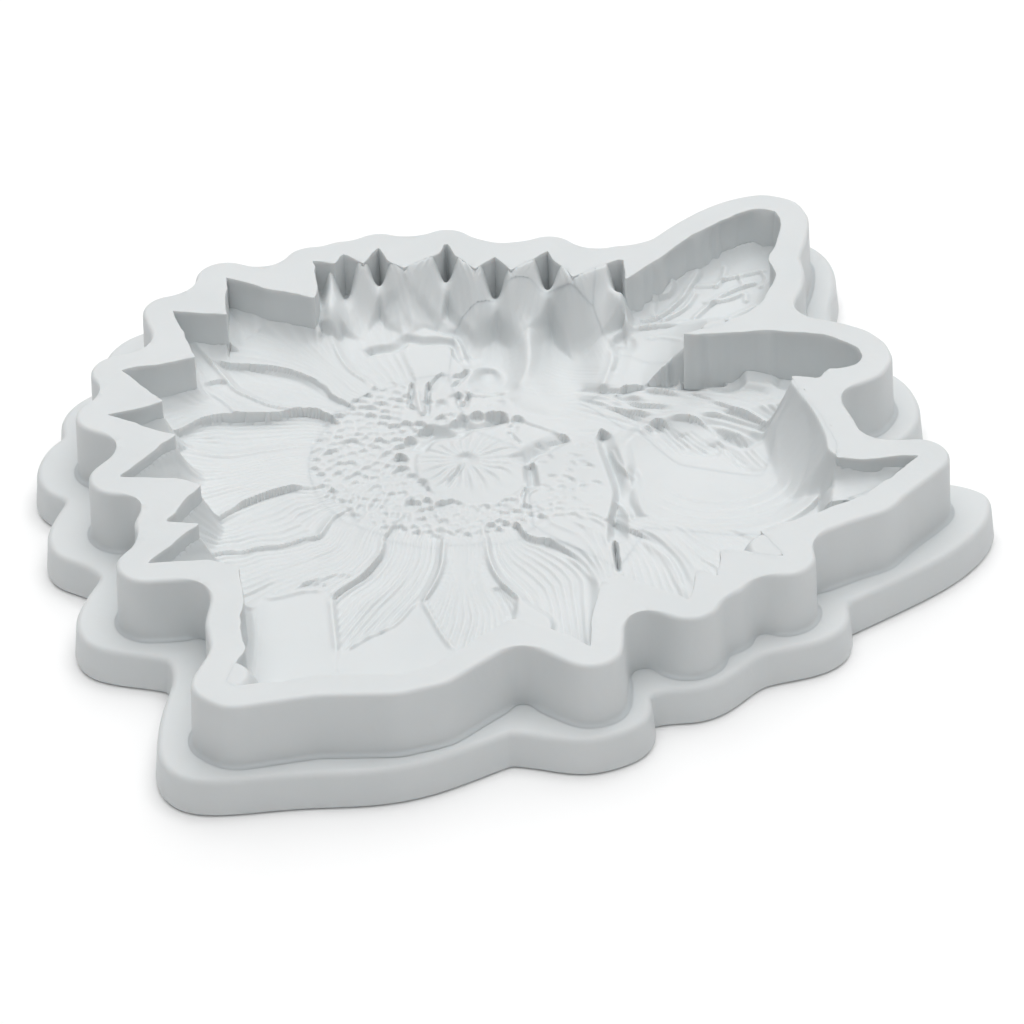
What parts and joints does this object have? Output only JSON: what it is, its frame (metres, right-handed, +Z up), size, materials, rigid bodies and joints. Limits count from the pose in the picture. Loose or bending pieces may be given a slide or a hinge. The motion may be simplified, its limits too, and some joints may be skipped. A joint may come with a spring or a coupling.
{
  "type": "silicone soap mould",
  "caption": "One-piece silicone soap mould: a sunflower-and-bee shaped hollow behind an upright rim wall, standing on a wider base flange.",
  "frame": {"origin": "on the underside, in the middle of the base flange's length and width", "axes": "+Z up out of the hollow, +X towards the bee's wing side, +Y towards the back petals"},
  "size_m": [0.1421, 0.1364, 0.016],
  "materials": {
    "silicone": "satin cast silicone, pale cool grey"
  },
  "bodies": {
    "root": {"base_flange": "silicone", "rim_wall": "silicone", "petal_bed": "silicone", "seed_disc_bed": "silicone", "bee_body_bed": "silicone", "upper_wing_bed": "silicone", "lower_wing_bed": "silicone"}
  },
  "joints": []
}
